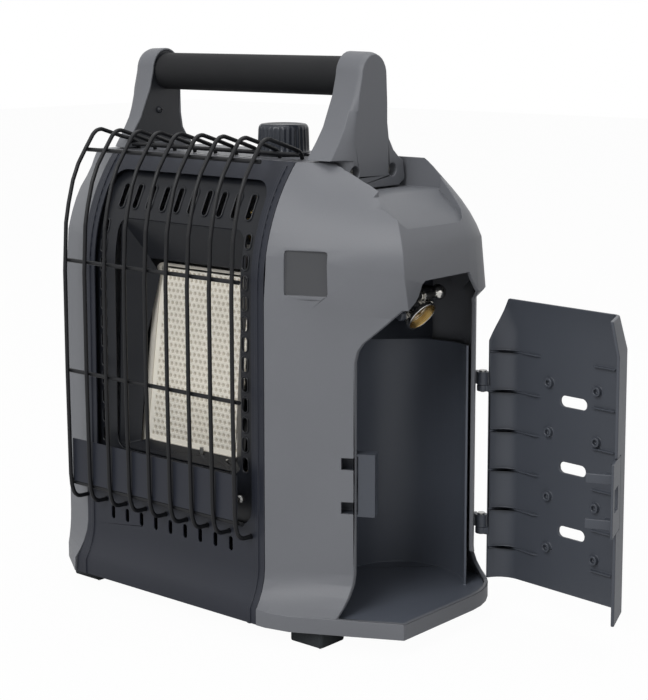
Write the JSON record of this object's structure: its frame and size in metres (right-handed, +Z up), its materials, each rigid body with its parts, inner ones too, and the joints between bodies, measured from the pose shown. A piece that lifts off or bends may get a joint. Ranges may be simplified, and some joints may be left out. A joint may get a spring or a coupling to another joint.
{
  "type": "portable propane heater",
  "caption": "Free-standing radiant gas heater with a wire-guarded ceramic burner, a cylinder bay with a hinged door, a swivel regulator and a carrying handle.",
  "frame": {"origin": "middle of the casing's footprint, on the floor", "axes": "+X towards the cylinder bay, +Y towards the back, +Z up"},
  "size_m": [0.4632, 0.2027, 0.4357],
  "materials": {
    "shell": "moulded grey, fine texture",
    "post": "moulded light grey",
    "slate": "moulded dark slate",
    "black_plastic": "moulded black",
    "panel_paint": "dark heat-resistant paint",
    "wire": "black enamel wire",
    "bright_steel": "bright sheet",
    "ceramic": "unglazed ceramic",
    "fibre": "fibre gasket",
    "brass": "turned brass",
    "nickel": "nickel plate",
    "steel": "zinc-plated steel",
    "porcelain": "glazed insulator",
    "foam": "foam sleeve",
    "foot_rubber": "rubber"
  },
  "bodies": {
    "casing": {"left_shell": "shell", "right_shell": "shell", "left_post": "post", "right_post": "post", "bay_liner": "slate", "bay_ceiling": "slate", "latch_receiver": "slate", "hinge_brackets": "slate", "left_post_cover": "black_plastic", "right_post_cover": "black_plastic", "igniter": "black_plastic", "tip_switch": "black_plastic", "front_panel": "panel_paint", "top_louvre": "panel_paint", "slotted_plate": "panel_paint", "reflector": "panel_paint", "base_pan": "panel_paint", "guard_plate": "panel_paint", "wire_guard": "wire", "tile_frame": "bright_steel", "tile_clips": "bright_steel", "burner_plenum": "bright_steel", "heat_shield": "bright_steel", "ceramic_tile": "ceramic", "tile_gasket": "fibre", "gas_valve": "brass", "injector": "brass", "gas_tube": "brass", "pilot_tube": "brass", "gas_arm": "nickel", "valve_spring": "steel", "pilot_burner": "steel", "thermocouple": "steel", "handle_tube": "steel", "upper_hinge_pin": "steel", "lower_hinge_pin": "steel", "post_screws": "steel", "cover_screws": "steel", "panel_screws": "steel", "foot_screws": "steel", "electrode": "porcelain", "grip": "foam", "foot_front_right": "foot_rubber", "foot_front_left": "foot_rubber", "foot_rear_right": "foot_rubber", "foot_rear_left": "foot_rubber"},
    "knob_plunger": {"thrust_washer": "steel"},
    "knob": {"control_knob": "black_plastic", "valve_stem": "steel"},
    "regulator": {"regulator_body": "nickel", "regulator_cap": "slate", "regulator_insert": "brass"},
    "cylinder_door": {"door": "slate"},
    "latch": {"door_latch": "slate"},
    "pendulum": {"tip_pendulum": "brass"}
  },
  "joints": [
    {"name": "knob_push", "type": "slide", "parent": "casing", "child": "knob_plunger", "axis": [0, 0, -1], "range_m": [0, 0.004], "stiffness_N_per_m": 900, "deforming": ["valve_spring"]},
    {"name": "knob_turn", "type": "hinge", "parent": "knob_plunger", "child": "knob", "pos_m": [0.007, 0.003, 0.356], "axis": [0, 0, 1], "range_deg": [0, 270]},
    {"name": "regulator_swivel", "type": "hinge", "parent": "casing", "child": "regulator", "pos_m": [0.123, 0.032, 0.2525], "axis": [0, 1, 0], "range_deg": [-8, 53]},
    {"name": "door_hinge", "type": "hinge", "parent": "casing", "child": "cylinder_door", "pos_m": [0.148, 0.075, 0.1], "axis": [0, 0, 1], "range_deg": [-84, 25]},
    {"name": "latch_flex", "type": "hinge", "parent": "cylinder_door", "child": "latch", "pos_m": [0.28169, 0.0545, 0.123], "axis": [0, 0, 1], "range_deg": [0, 12], "stiffness_Nm_per_rad": 2},
    {"name": "pendulum_swing", "type": "hinge", "parent": "casing", "child": "pendulum", "pos_m": [-0.095, 0.04, 0.0451], "axis": [0, 1, 0], "range_deg": [-14, 14]}
  ]
}
